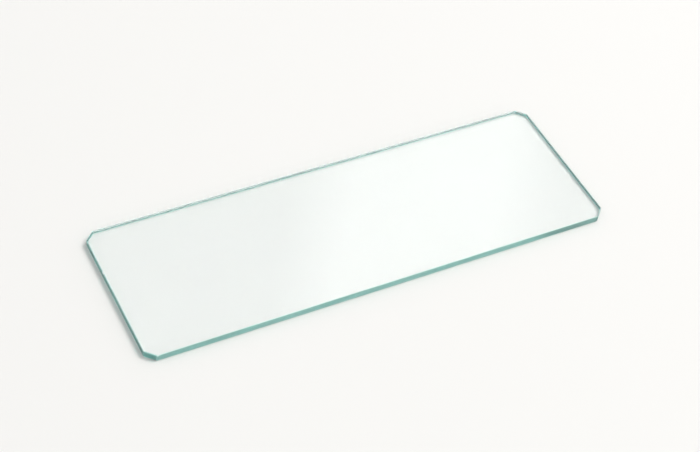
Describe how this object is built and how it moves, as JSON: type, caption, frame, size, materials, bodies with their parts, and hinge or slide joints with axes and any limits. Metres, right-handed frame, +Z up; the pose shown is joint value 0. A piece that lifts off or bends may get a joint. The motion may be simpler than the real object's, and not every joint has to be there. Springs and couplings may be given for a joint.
{
  "type": "microscope slide",
  "caption": "Flat rectangular plate of clear glass with ground edges and clipped corners, which carries a specimen on a microscope stage.",
  "frame": {"origin": "middle of the underside, the large face that the slide lies on", "axes": "+X along the slide's length, +Y across its width, +Z up through the thickness, out of the face that takes the specimen"},
  "size_m": [0.076, 0.026, 0.0011],
  "materials": {
    "clear_glass": "polished flat faces with finely ground, faintly matt edges; clear through the thickness and teal along the plate"
  },
  "bodies": {
    "root": {"glass_plate": "clear_glass"}
  },
  "joints": []
}
